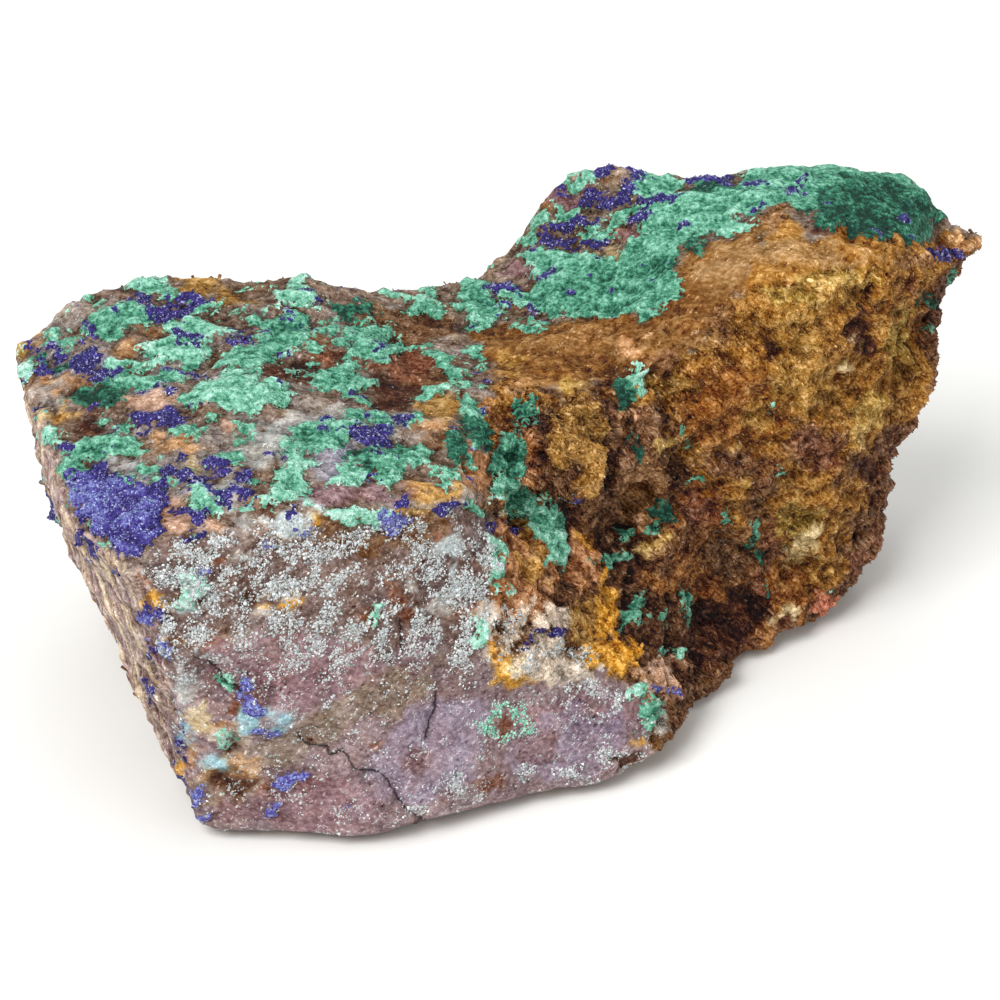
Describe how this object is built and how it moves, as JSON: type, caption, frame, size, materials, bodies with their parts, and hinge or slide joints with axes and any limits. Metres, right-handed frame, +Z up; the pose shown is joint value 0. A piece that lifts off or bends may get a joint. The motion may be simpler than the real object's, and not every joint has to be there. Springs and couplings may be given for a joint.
{
  "type": "azurite and malachite specimen",
  "caption": "Hand-sized block of copper ore with a low table, a higher summit and a rough golden-brown face, crusted with blue azurite and green malachite.",
  "frame": {"origin": "under the middle of the block's bounding box, on the surface that it rests on", "axes": "+X along the block's length towards the higher, pointed end, +Y from the flat purple face to the back, +Z up"},
  "size_m": [0.1088, 0.0686, 0.0511],
  "materials": {
    "rock": "rough natural break with mineral crusts",
    "azurite": "fine glassy crystals",
    "malachite": "velvety crust",
    "limonite": "granular, earthy"
  },
  "bodies": {
    "root": {"azurite_rock": "rock"}
  },
  "joints": []
}
